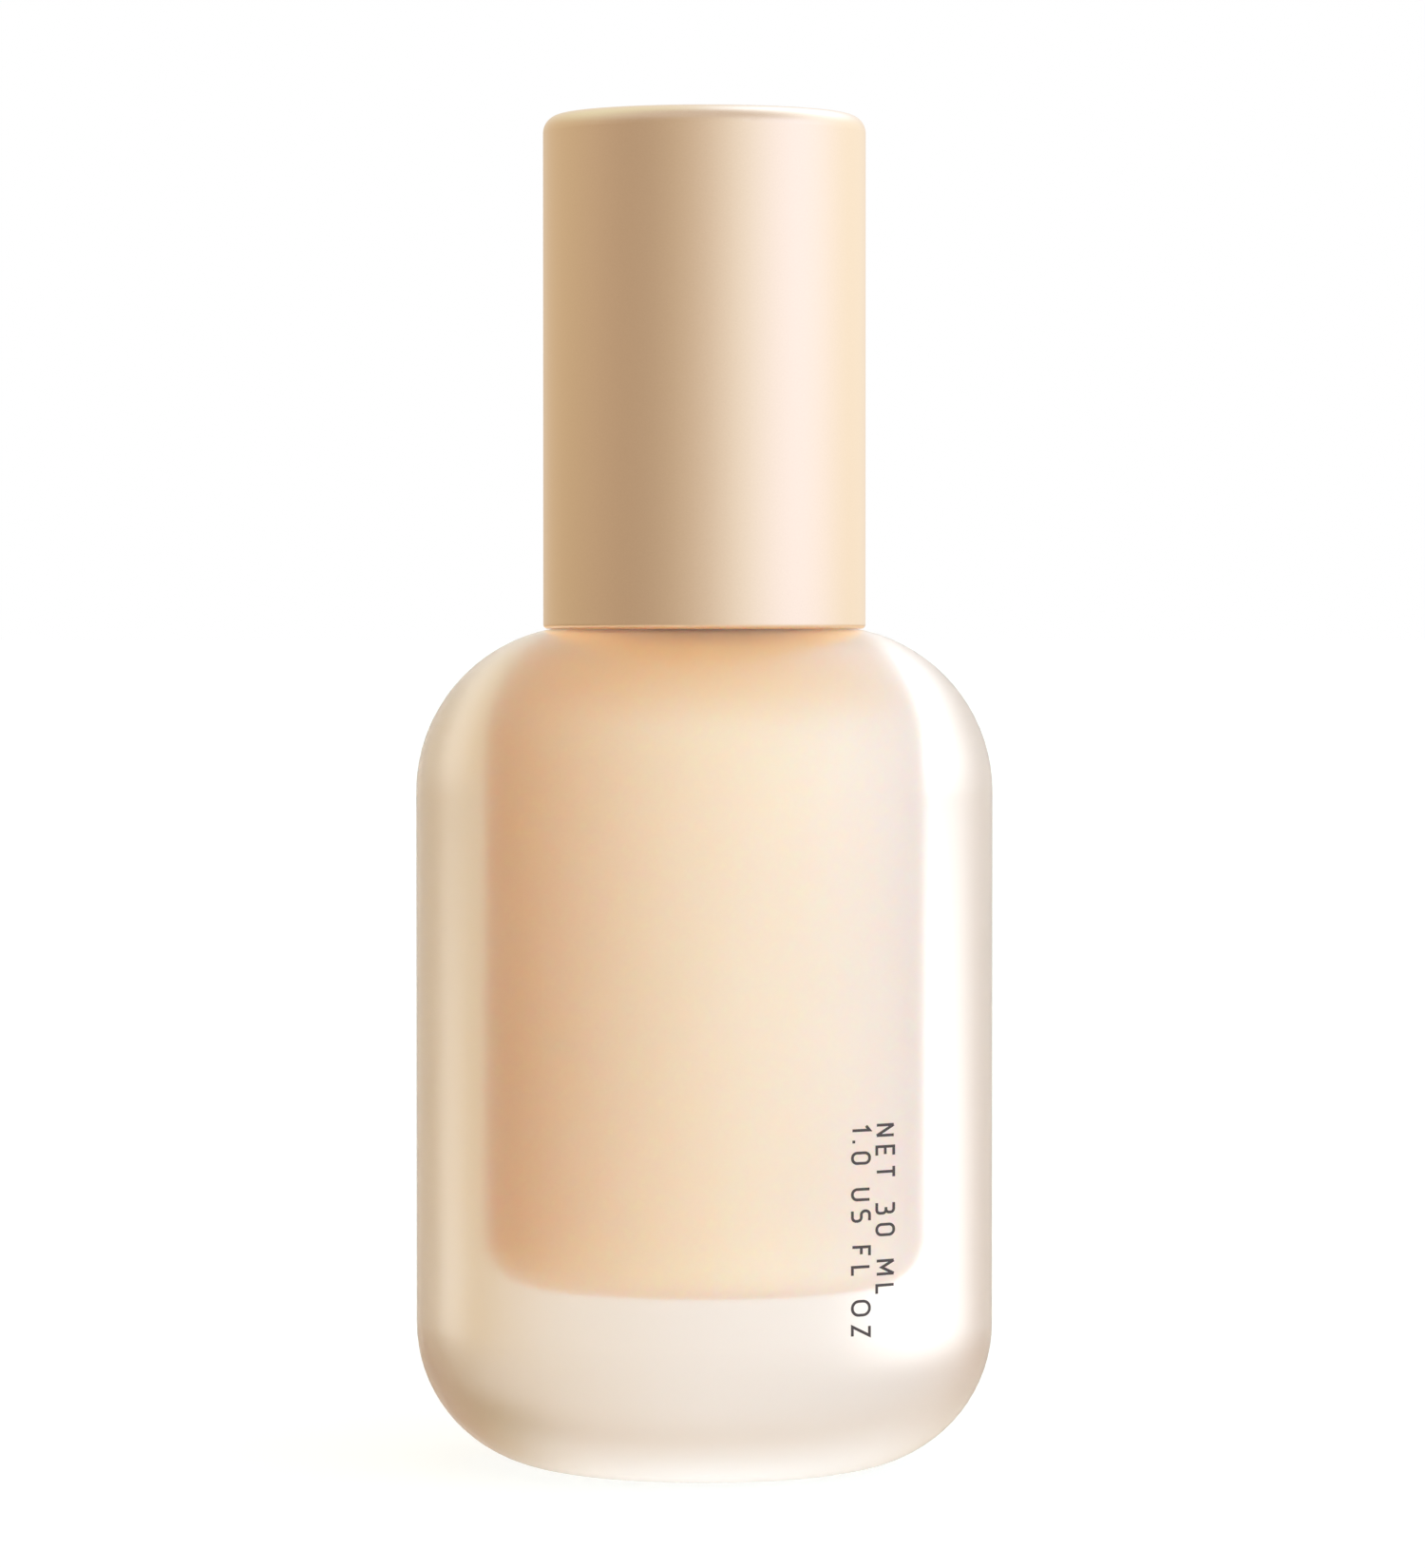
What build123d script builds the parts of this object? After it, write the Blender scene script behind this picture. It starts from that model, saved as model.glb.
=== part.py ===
from build123d import *
from math import sqrt
import os

# Foundation bottle: a thick frosted glass bottle with a screw-on treatment pump under a tall overcap.
# Millimetres. The origin is the centre of the base, +Z is up and the front of the bottle faces -Y.

os.makedirs("parts", exist_ok=True)

# ---- Clearances ----
PRESS_GAP = 0.02        # between pieces that are pressed or glued together
SHAFT_GAP = 0.08        # running fit of the stem and the piston
LOOSE_GAP = 0.30        # between pieces that move past each other
FILL_GAP = 0.05         # between the solid liquid and the glass

# ---- Glass bottle ----
BODY_R = 22.35
BODY_H = 65.1           # base to the top of the domed shoulder
SHOULDER_ROUND = 12.8
BASE_ROUND = 11.1
PUNT_R = 8.6            # shallow recess inside the stand ring
PUNT_DEPTH = 1.1
CAVITY_R = 14.7
CAVITY_FLOOR = 14.1
CAVITY_TOP = 63.0
CAVITY_FLOOR_ROUND = 3.6
CAVITY_SHOULDER_ROUND = 8.5
CAVITY_MOUTH_ROUND = 1.4    # where the cavity opens into the neck
NECK_R = 7.8            # 18 mm screw neck, measured under the thread
NECK_BORE_R = 5.4
NECK_H = 12.5
NECK_FOOT_ROUND = 1.2
RIM_ROUND = 0.6
RIM_Z = BODY_H + NECK_H
FILL_LEVEL = 64.5

# ---- Screw thread, 8 turns per inch ----
PITCH = 25.4 / 8
THREAD_TURNS = 1.5
THREAD_TOP_LAND = 1.9   # rim to the centre of the thread's last turn
THREAD_HEIGHT = 1.05
THREAD_ROOT_W = 1.5
THREAD_CREST_W = 0.7
THREAD_BITE = 0.15      # how far a thread's root reaches into its wall

# ---- Overcap ----
CAP_R = 12.5
CAP_H = 39.72
CAP_FOOT_Z = 64.9       # just clear of the shoulder, whose dome rises inside the cap
CAP_SHELL_WALL = 0.5
CAP_TOP_ROUND = 1.4
CAP_FOOT_ROUND = 0.35
CAP_LINER_WALL = 0.75
CAP_LINER_ROOF = 0.9
CAP_RIBS = 8
CAP_RIB_W = 0.6
CAP_RIB_TOP_Z = 80.0

# ---- Closure and its sleeve ----
SLEEVE_R = 10.75
SLEEVE_WALL = 0.4
SLEEVE_FOOT_Z = 65.5
SLEEVE_TOP_Z = 86.4
SLEEVE_TOP_ROUND = 0.35
CLOSURE_BORE_R = 9.1
CLOSURE_PLATE = 1.1
CLOSURE_HOLE_R = 5.3
CLOSURE_THREAD_ROOT_W = 1.3
CLOSURE_THREAD_CREST_W = 0.6
CLOSURE_THREAD_R = 8.15
CLOSURE_THREAD_LIFT = 0.3   # how far above mid-pitch the closure's thread bears
GRIP_FLUTES = 24
GRIP_FLUTE_R = 0.45

# ---- Pump chamber ----
GASKET_H = 0.8
GASKET_R = 8.2
FLANGE_R = 8.6
FLANGE_H = 1.0
BARREL_R = 4.4
BARREL_BORE_R = 3.6
CHAMBER_FLOOR_Z = 61.4
BALL_R = 1.25
BALL_WELL_R = 1.75
BALL_WELL_FLOOR_Z = 58.3
SEAT_R = 0.8
SEAT_Z = BALL_WELL_FLOOR_Z - (BALL_WELL_R - SEAT_R)
SOCKET_TOP_Z = 56.8
SOCKET_FOOT_Z = 52.8
SOCKET_R = 2.4
VENT_R = 0.3
VENT_Z = 72.7

# ---- Chaplet ----
CHAPLET_SKIRT_FOOT_Z = 75.0
CHAPLET_COLLAR_R = 5.0
CHAPLET_BEAD_R = 5.7
CHAPLET_TOP_Z = 82.2

# ---- Moving pump parts ----
STROKE = 4.0
LOST_MOTION = 0.8       # the plug opens the piston before the stem pushes it
STEM_R = 2.5
STEM_BORE_R = 1.1
STEM_TOP_Z = 92.3
STEM_SOCKET_DEPTH = 3.6
PLUG_ROD_R = 1.8
PLUG_BORE_R = 1.0
PLUG_HEAD_R = 2.9
PLUG_HEAD_H = 1.1
PORT_R = 0.45
PISTON_H = 4.5
PISTON_WAIST_R = 3.0
PISTON_LIP_H = 0.9
WIRE_R = 0.25
SPRING_R = 2.4          # centre line of the wire
SPRING_TURNS = 5

# ---- Dip tube ----
TUBE_R = 1.5
TUBE_BORE_R = 0.95
TUBE_FOOT_GAP = 1.2

# ---- Pump head ----
HEAD_R = 8.5
HEAD_SHELL_WALL = 0.4
HEAD_TOP_Z = 101.0
HEAD_FOOT_Z = 84.95
HEAD_TOP_ROUND = 0.9
HEAD_CORE_WALL = 1.0
HEAD_CORE_ROOF = 1.2
BOSS_R = 3.7
BOSS_FOOT_Z = 86.6
HEAD_RIBS = 6
HEAD_RIB_W = 0.8
HEAD_RIB_FOOT_Z = 90.0
NOZZLE_Z = 96.4
NOZZLE_BOSS_R = 2.9
NOZZLE_R = 1.6
NOZZLE_COLLAR_R = 2.0
NOZZLE_BORE_R = 0.7
NOZZLE_REACH = 10.5     # from the axis to the spout's tip
OUTLET_R = 0.9

# ---- Volume print ----
PRINT_THICKNESS = 0.04
PRINT_STROKE = 0.21
PRINT_LETTER_H = 1.3
PRINT_LETTER_GAP = 0.65     # as a share of the letter height
PRINT_TOP_Z = 27.7
PRINT_COLUMNS = {"NET 30 ML": 12.95, "1.0 US FL OZ": 11.1}  # words, and the x of their base line

# Strokes of the printed characters: x along the line and y up, as shares of the letter height.
# A stroke that ends where it starts is closed.
STROKES = {
    "0": [[(0, 0), (0.6, 0), (0.6, 1), (0, 1), (0, 0)]],
    "1": [[(0, 0.8), (0.25, 1), (0.25, 0)]],
    "3": [[(0, 1), (0.56, 1), (0.56, 0.54), (0.26, 0.54)], [(0.26, 0.54), (0.6, 0.54), (0.6, 0), (0, 0)]],
    "E": [[(0.5, 1), (0, 1), (0, 0), (0.5, 0)], [(0, 0.5), (0.44, 0.5)]],
    "F": [[(0.5, 1), (0, 1), (0, 0)], [(0, 0.52), (0.42, 0.52)]],
    "L": [[(0, 1), (0, 0), (0.48, 0)]],
    "M": [[(0, 0), (0, 1)], [(0, 1), (0.38, 0.3), (0.76, 1)], [(0.76, 1), (0.76, 0)]],
    "N": [[(0, 0), (0, 1)], [(0, 1), (0.6, 0)], [(0.6, 0), (0.6, 1)]],
    "O": [[(0, 0), (0.8, 0), (0.8, 1), (0, 1), (0, 0)]],
    "S": [[(0.56, 1), (0, 1), (0, 0.52), (0.58, 0.52), (0.58, 0), (0, 0)]],
    "T": [[(0, 1), (0.6, 1)], [(0.3, 1), (0.3, 0)]],
    "U": [[(0, 1), (0, 0), (0.6, 0), (0.6, 1)]],
    "Z": [[(0, 1), (0.55, 1), (0, 0), (0.55, 0)]],
    ".": [[(0, 0.16), (0, 0)]],
}
# Radius of the corners of the round characters, as a share of the letter height.
STROKE_ROUNDS = {"0": 0.28, "3": 0.2, "O": 0.38, "S": 0.22, "U": 0.28}


def band(r_in, r_out, z_low, z_high, mode=Mode.ADD):
    """A rectangle of a half section, between two radii and two heights."""
    with Locations(((r_in + r_out) / 2, (z_low + z_high) / 2)):
        Rectangle(r_out - r_in, z_high - z_low, mode=mode)


def outline(points, rounds, mode=Mode.ADD):
    """A closed half section through the points, with one corner radius for each point."""
    with BuildLine(mode=Mode.PRIVATE) as rim:
        FilletPolyline(*points, radius=rounds, close=True)
    make_face(rim.edges(), mode=mode)


def thread_ridge(root_r, crest_r, root_w, crest_w, z_low):
    """A helical ridge of trapezoid section, from a bite inside the wall at root_r to crest_r."""
    bite = -THREAD_BITE if crest_r > root_r else THREAD_BITE
    with BuildLine(mode=Mode.PRIVATE) as path:
        Helix(PITCH, THREAD_TURNS * PITCH, root_r, center=(0, 0, z_low))
    start = Plane(origin=path.line @ 0, x_dir=(1, 0, 0), z_dir=path.line % 0)
    with BuildSketch(start, mode=Mode.PRIVATE) as section:
        with BuildLine():
            Polyline(
                (bite, -root_w / 2),
                (crest_r - root_r, -crest_w / 2),
                (crest_r - root_r, crest_w / 2),
                (bite, root_w / 2),
                close=True,
            )
        make_face()
    sweep(sections=section.sketch, path=path.line, is_frenet=True)


def print_downward(words, base_x):
    """Strokes of the words, read from PRINT_TOP_Z downward with the letters' heads towards +X."""
    cursor = 0
    for letter in words:
        strokes = STROKES.get(letter, [])
        for stroke in strokes:
            points = [
                (base_x + y * PRINT_LETTER_H, PRINT_TOP_Z - (cursor + x) * PRINT_LETTER_H) for x, y in stroke
            ]
            closed = points[0] == points[-1]
            corners = points[:-1] if closed else points
            with BuildLine(mode=Mode.PRIVATE) as line:
                if letter in STROKE_ROUNDS:
                    FilletPolyline(*corners, radius=STROKE_ROUNDS[letter] * PRINT_LETTER_H, close=closed)
                else:
                    Polyline(*corners)
            trace(line.line, PRINT_STROKE)
        width = max((x for stroke in strokes for x, _ in stroke), default=0.2)
        cursor += width + PRINT_LETTER_GAP


# ---- Heights that follow from the stack on the neck's rim ----
gasket_top = RIM_Z + GASKET_H
flange_top = gasket_top + FLANGE_H
plate_foot = flange_top + 0.1
plate_top = plate_foot + CLOSURE_PLATE
thread_low = RIM_Z - THREAD_TOP_LAND - THREAD_TURNS * PITCH
piston_top = CHAPLET_SKIRT_FOOT_Z - 0.1
piston_foot = piston_top - PISTON_H
plug_head_top = piston_foot - 0.1
plug_head_foot = plug_head_top - PLUG_HEAD_H
stem_foot = piston_top + LOST_MOTION + 0.1
stem_socket_top = stem_foot + STEM_SOCKET_DEPTH
cage_top = CHAMBER_FLOOR_Z + 0.6
cap_top = CAP_FOOT_Z + CAP_H
tube_foot = CAVITY_FLOOR + TUBE_FOOT_GAP

# Cavity of the glass, from the axis at the floor round to the bore of the neck.
cavity_corners = [
    (CAVITY_R, CAVITY_FLOOR),
    (CAVITY_R, CAVITY_TOP),
    (NECK_BORE_R, CAVITY_TOP),
]
cavity_rounds = [CAVITY_FLOOR_ROUND, CAVITY_SHOULDER_ROUND, CAVITY_MOUTH_ROUND]

# ---- Glass bottle: thick wall, stand ring round a shallow punt, threaded neck ----
with BuildPart() as glass_bottle:
    with BuildSketch(Plane.XZ):
        outline(
            [
                (0, PUNT_DEPTH),
                (PUNT_R - 1.5, PUNT_DEPTH),
                (PUNT_R, 0),
                (BODY_R, 0),
                (BODY_R, BODY_H),
                (NECK_R, BODY_H),
                (NECK_R, RIM_Z),
                (NECK_BORE_R, RIM_Z),
                *reversed(cavity_corners),
                (0, CAVITY_FLOOR),
            ],
            [
                0, 1.5, 0.4, BASE_ROUND, SHOULDER_ROUND, NECK_FOOT_ROUND,
                RIM_ROUND, RIM_ROUND, *reversed(cavity_rounds), 0,
            ],
        )
    revolve(axis=Axis.Z)
    thread_ridge(NECK_R, NECK_R + THREAD_HEIGHT, THREAD_ROOT_W, THREAD_CREST_W, thread_low)

# ---- Liquid: fills the cavity round the pump chamber and the dip tube ----
with BuildPart() as foundation_fill:
    with BuildSketch(Plane.XZ):
        outline(
            [
                (0, CAVITY_FLOOR + FILL_GAP),
                (CAVITY_R - FILL_GAP, CAVITY_FLOOR + FILL_GAP),
                (CAVITY_R - FILL_GAP, CAVITY_TOP - FILL_GAP),
                (NECK_BORE_R - FILL_GAP, CAVITY_TOP - FILL_GAP),
                (NECK_BORE_R - FILL_GAP, FILL_LEVEL),
                (0, FILL_LEVEL),
            ],
            [
                0, CAVITY_FLOOR_ROUND - FILL_GAP, CAVITY_SHOULDER_ROUND - FILL_GAP,
                CAVITY_MOUTH_ROUND + FILL_GAP, 0, 0,
            ],
        )
        # The pump hangs in the liquid, with room to be lifted out.
        band(0, TUBE_R + LOOSE_GAP, tube_foot - LOOSE_GAP, FILL_LEVEL, Mode.SUBTRACT)
        band(0, SOCKET_R + LOOSE_GAP, SOCKET_FOOT_Z - LOOSE_GAP, FILL_LEVEL, Mode.SUBTRACT)
        band(0, BARREL_R + LOOSE_GAP, SEAT_Z - LOOSE_GAP, FILL_LEVEL, Mode.SUBTRACT)
    revolve(axis=Axis.Z)

# ---- Volume print: two short columns that read downward, laid on the front right of the glass ----
with BuildPart() as volume_print:
    with BuildSketch(Plane.XZ):
        outline(
            [
                (0, -PRINT_THICKNESS),
                (BODY_R + PRINT_THICKNESS, -PRINT_THICKNESS),
                (BODY_R + PRINT_THICKNESS, BODY_H / 2),
                (0, BODY_H / 2),
            ],
            [0, BASE_ROUND + PRINT_THICKNESS, 0, 0],
        )
        outline(
            [(0, 0), (BODY_R + 0.01, 0), (BODY_R + 0.01, BODY_H), (0, BODY_H)],
            [0, BASE_ROUND, 0, 0],
            Mode.SUBTRACT,
        )
    revolve(axis=Axis.Z)
    with BuildSketch(Plane.XZ):
        for words, base_x in PRINT_COLUMNS.items():
            print_downward(words, base_x)
    extrude(amount=BODY_R + 1, mode=Mode.INTERSECT)

# ---- Gasket between the neck's rim and the pump's flange ----
with BuildPart() as neck_gasket:
    with BuildSketch(Plane.XZ):
        band(BARREL_R + 0.1, GASKET_R, RIM_Z, gasket_top)
    revolve(axis=Axis.Z)

# ---- Pump chamber: flange, barrel, ball seat and dip-tube socket in one moulding ----
with BuildPart() as chamber_housing:
    with BuildSketch(Plane.XZ):
        with BuildLine():
            Polyline(
                (BARREL_BORE_R, flange_top),
                (FLANGE_R, flange_top),
                (FLANGE_R, gasket_top),
                (BARREL_R, gasket_top),
                (BARREL_R, CHAMBER_FLOOR_Z),
                (BALL_WELL_R + 0.9, SEAT_Z + 0.6),
                (SOCKET_R, SEAT_Z - 0.4),
                (SOCKET_R, SOCKET_FOOT_Z),
                (TUBE_R + PRESS_GAP, SOCKET_FOOT_Z),
                (TUBE_R + PRESS_GAP, SOCKET_TOP_Z),
                (SEAT_R, SOCKET_TOP_Z),
                (SEAT_R, SEAT_Z),
                (BALL_WELL_R, BALL_WELL_FLOOR_Z),
                (BALL_WELL_R, CHAMBER_FLOOR_Z),
                (BARREL_BORE_R, CHAMBER_FLOOR_Z),
                close=True,
            )
        make_face()
    revolve(axis=Axis.Z)
    # Air vent, which the piston covers at rest.
    with BuildSketch(Plane.XZ):
        with Locations((0, VENT_Z)):
            Circle(VENT_R)
    extrude(amount=-BARREL_R - 1, mode=Mode.SUBTRACT)

# ---- Ball cage: seats the spring and keeps the ball in its well with three fingers ----
with BuildPart() as ball_cage:
    with BuildSketch(Plane.XZ):
        band(BALL_WELL_R - 0.1, BARREL_BORE_R - PRESS_GAP, CHAMBER_FLOOR_Z, cage_top)
    revolve(axis=Axis.Z)
    with BuildSketch(Plane.XY.offset(CHAMBER_FLOOR_Z)):
        with PolarLocations((BALL_WELL_R + 0.75) / 2 + 0.15, 3):
            Rectangle(BALL_WELL_R - 0.75, 0.7)
    extrude(amount=cage_top - CHAMBER_FLOOR_Z)

# ---- Inlet ball, resting on the cone of its seat ----
seat_gap = 0.03
ball_z = SEAT_Z - SEAT_R + (BALL_R + seat_gap) * sqrt(2)
with BuildPart() as inlet_ball:
    with Locations((0, 0, ball_z)):
        Sphere(BALL_R)

# ---- Return spring, with its ends on the cage and under the plug's head ----
spring_low = cage_top + WIRE_R + 0.03
spring_high = plug_head_foot - WIRE_R - 0.03
with BuildPart() as return_spring:
    with BuildLine() as spring_path:
        Helix((spring_high - spring_low) / SPRING_TURNS, spring_high - spring_low, SPRING_R,
              center=(0, 0, spring_low))
    with BuildSketch(Plane(origin=spring_path.line @ 0, x_dir=(1, 0, 0), z_dir=spring_path.line % 0)):
        Circle(WIRE_R)
    sweep(path=spring_path.line, is_frenet=True)

# ---- Chaplet: its skirt stops the piston, its bead carries the closure, its bore guides the stem ----
with BuildPart() as chaplet:
    with BuildSketch(Plane.XZ):
        with BuildLine():
            Polyline(
                (STEM_R + SHAFT_GAP, CHAPLET_SKIRT_FOOT_Z),
                (BARREL_BORE_R - PRESS_GAP, CHAPLET_SKIRT_FOOT_Z),
                (BARREL_BORE_R - PRESS_GAP, flange_top),
                (CHAPLET_COLLAR_R, flange_top),
                (CHAPLET_COLLAR_R, plate_top + 0.2),
                (CHAPLET_BEAD_R, plate_top + 0.4),
                (CHAPLET_BEAD_R, plate_top + 0.8),
                (CHAPLET_COLLAR_R - 0.2, CHAPLET_TOP_Z),
                (STEM_R + SHAFT_GAP + 0.3, CHAPLET_TOP_Z),
                (STEM_R + SHAFT_GAP, CHAPLET_TOP_Z - 0.4),
                close=True,
            )
        make_face()
    revolve(axis=Axis.Z)

# ---- Dip tube, pushed into the housing's socket, with its foot just above the cavity's floor ----
with BuildPart() as dip_tube:
    with BuildSketch(Plane.XZ):
        band(TUBE_BORE_R, TUBE_R, tube_foot, SOCKET_TOP_Z - 0.2)
    revolve(axis=Axis.Z)
    # The foot is cut on the slant so that it can't seal against the glass.
    with BuildSketch(Plane.XZ.offset(-TUBE_R - 1)):
        with BuildLine():
            Polyline((-TUBE_R - 1, tube_foot - 1), (TUBE_R + 1, tube_foot - 1),
                     (-TUBE_R - 1, tube_foot + 2.4), close=True)
        make_face()
    extrude(amount=2 * TUBE_R + 2, mode=Mode.SUBTRACT)

# ---- Piston: soft, with a flared lip at each end, sliding on the plug's rod ----
with BuildPart() as piston:
    with BuildSketch(Plane.XZ):
        with BuildLine():
            Polyline(
                (PLUG_ROD_R + SHAFT_GAP, piston_foot),
                (PISTON_WAIST_R - 0.5, piston_foot),
                (PISTON_WAIST_R, piston_foot + PISTON_LIP_H),
                (BARREL_BORE_R - SHAFT_GAP - 0.3, piston_foot),
                (BARREL_BORE_R - SHAFT_GAP, piston_foot),
                (BARREL_BORE_R - SHAFT_GAP, piston_foot + 0.5),
                (PISTON_WAIST_R + 0.1, piston_foot + PISTON_LIP_H + 0.5),
                (PISTON_WAIST_R + 0.1, piston_top - PISTON_LIP_H - 0.5),
                (BARREL_BORE_R - SHAFT_GAP, piston_top - 0.5),
                (BARREL_BORE_R - SHAFT_GAP, piston_top),
                (BARREL_BORE_R - SHAFT_GAP - 0.3, piston_top),
                (PISTON_WAIST_R, piston_top - PISTON_LIP_H),
                (PISTON_WAIST_R - 0.4, piston_top),
                (PLUG_ROD_R + SHAFT_GAP, piston_top),
                close=True,
            )
        make_face()
    revolve(axis=Axis.Z)

# ---- Plunger plug: hollow rod pressed into the stem, side ports, and the head that shuts the piston ----
with BuildPart() as plunger_plug:
    with BuildSketch(Plane.XZ):
        with BuildLine():
            Polyline(
                (0, plug_head_foot - 1.6),
                (1.3, plug_head_foot - 1.6),
                (SPRING_R - WIRE_R - 0.25, plug_head_foot - 0.9),
                (SPRING_R - WIRE_R - 0.25, plug_head_foot),
                (PLUG_HEAD_R, plug_head_foot),
                (PLUG_HEAD_R, plug_head_top - 0.3),
                (PLUG_HEAD_R - 0.3, plug_head_top),
                (PLUG_ROD_R, plug_head_top),
                (PLUG_ROD_R, stem_socket_top - 0.3),
                (PLUG_ROD_R - 0.3, stem_socket_top - 0.05),
                (PLUG_BORE_R, stem_socket_top - 0.05),
                (PLUG_BORE_R, plug_head_top),
                (0, plug_head_top),
                close=True,
            )
        make_face()
    revolve(axis=Axis.Z)
    # Two crossed ports just above the head.
    with BuildSketch(Plane.XZ.offset(-PLUG_HEAD_R)):
        with Locations((0, plug_head_top + PORT_R + 0.1)):
            Circle(PORT_R)
    extrude(amount=2 * PLUG_HEAD_R, mode=Mode.SUBTRACT)
    with BuildSketch(Plane.YZ.offset(-PLUG_HEAD_R)):
        with Locations((0, plug_head_top + PORT_R + 0.1)):
            Circle(PORT_R)
    extrude(amount=2 * PLUG_HEAD_R, mode=Mode.SUBTRACT)

# ---- Stem: carries the head, guided by the chaplet ----
with BuildPart() as stem:
    with BuildSketch(Plane.XZ):
        band(STEM_BORE_R, STEM_R, stem_foot, STEM_TOP_Z)
        band(STEM_BORE_R, PLUG_ROD_R + PRESS_GAP, stem_foot, stem_socket_top, Mode.SUBTRACT)
    revolve(axis=Axis.Z)
    chamfer(stem.edges().filter_by(GeomType.CIRCLE).group_by(Axis.Z)[-1].sort_by(SortBy.RADIUS)[-1], 0.3)

# ---- Screw closure: threaded skirt, plate on the pump's flange, ring up to the sleeve's lip ----
closure_r = SLEEVE_R - SLEEVE_WALL - PRESS_GAP
closure_top = SLEEVE_TOP_Z - SLEEVE_WALL - PRESS_GAP
head_gap_r = HEAD_R + 0.35
with BuildPart() as screw_closure:
    with BuildSketch(Plane.XZ):
        band(CLOSURE_BORE_R, closure_r, SLEEVE_FOOT_Z + 0.2, closure_top)
        band(CLOSURE_HOLE_R, closure_r, plate_foot, plate_top)
        # Lead-in of the bore at the foot.
        with BuildLine():
            Polyline(
                (CLOSURE_BORE_R, SLEEVE_FOOT_Z + 0.2),
                (CLOSURE_BORE_R + 0.5, SLEEVE_FOOT_Z + 0.2),
                (CLOSURE_BORE_R, SLEEVE_FOOT_Z + 0.7),
                close=True,
            )
        make_face(mode=Mode.SUBTRACT)
    revolve(axis=Axis.Z)
    # Flutes that key the closure into its sleeve.
    with BuildSketch(Plane.XY.offset(SLEEVE_FOOT_Z)):
        with PolarLocations(closure_r + GRIP_FLUTE_R * 0.4, GRIP_FLUTES):
            Circle(GRIP_FLUTE_R)
    extrude(amount=closure_top - SLEEVE_FOOT_Z - 2, mode=Mode.SUBTRACT)
    thread_ridge(CLOSURE_BORE_R, CLOSURE_THREAD_R, CLOSURE_THREAD_ROOT_W, CLOSURE_THREAD_CREST_W,
                 thread_low - PITCH / 2 + CLOSURE_THREAD_LIFT)

# ---- Collar sleeve: drawn metal tube whose lip closes the ring round the head ----
with BuildPart() as collar_sleeve:
    with BuildSketch(Plane.XZ):
        outline(
            [
                (SLEEVE_R, SLEEVE_FOOT_Z),
                (SLEEVE_R, SLEEVE_TOP_Z),
                (head_gap_r, SLEEVE_TOP_Z),
                (head_gap_r, SLEEVE_TOP_Z - SLEEVE_WALL),
                (SLEEVE_R - SLEEVE_WALL, SLEEVE_TOP_Z - SLEEVE_WALL),
                (SLEEVE_R - SLEEVE_WALL, SLEEVE_FOOT_Z),
            ],
            [0, SLEEVE_TOP_ROUND, 0.15, 0, 0, 0],
        )
    revolve(axis=Axis.Z)

# ---- Overcap shell: drawn aluminium cup ----
liner_r = CAP_R - CAP_SHELL_WALL - PRESS_GAP
liner_bore_r = liner_r - CAP_LINER_WALL
liner_roof_z = cap_top - CAP_SHELL_WALL - PRESS_GAP
with BuildPart() as cap_shell:
    with BuildSketch(Plane.XZ):
        outline(
            [
                (0, cap_top),
                (CAP_R, cap_top),
                (CAP_R, CAP_FOOT_Z),
                (CAP_R - CAP_SHELL_WALL, CAP_FOOT_Z),
                (CAP_R - CAP_SHELL_WALL, cap_top - CAP_SHELL_WALL),
                (0, cap_top - CAP_SHELL_WALL),
            ],
            [0, CAP_TOP_ROUND, CAP_FOOT_ROUND, 0.1, CAP_TOP_ROUND - CAP_SHELL_WALL, 0],
        )
    revolve(axis=Axis.Z)

# ---- Overcap liner: plastic cup with ribs that grip the collar sleeve ----
with BuildPart() as cap_liner:
    with BuildSketch(Plane.XZ):
        outline(
            [
                (0, liner_roof_z),
                (liner_r, liner_roof_z),
                (liner_r, CAP_FOOT_Z + 0.5),
                (liner_bore_r, CAP_FOOT_Z + 0.5),
                (liner_bore_r, liner_roof_z - CAP_LINER_ROOF),
                (0, liner_roof_z - CAP_LINER_ROOF),
            ],
            [0, CAP_TOP_ROUND - CAP_SHELL_WALL + PRESS_GAP, 0, 0.3, 0.6, 0],
        )
    revolve(axis=Axis.Z)
    rib_reach = liner_bore_r - SLEEVE_R - 0.2
    with BuildSketch(Plane.XY.offset(CAP_FOOT_Z + 2)):
        with PolarLocations(liner_bore_r - rib_reach / 2 + 0.1, CAP_RIBS):
            Rectangle(rib_reach + 0.2, CAP_RIB_W)
    extrude(amount=CAP_RIB_TOP_Z - CAP_FOOT_Z - 2)

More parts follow.
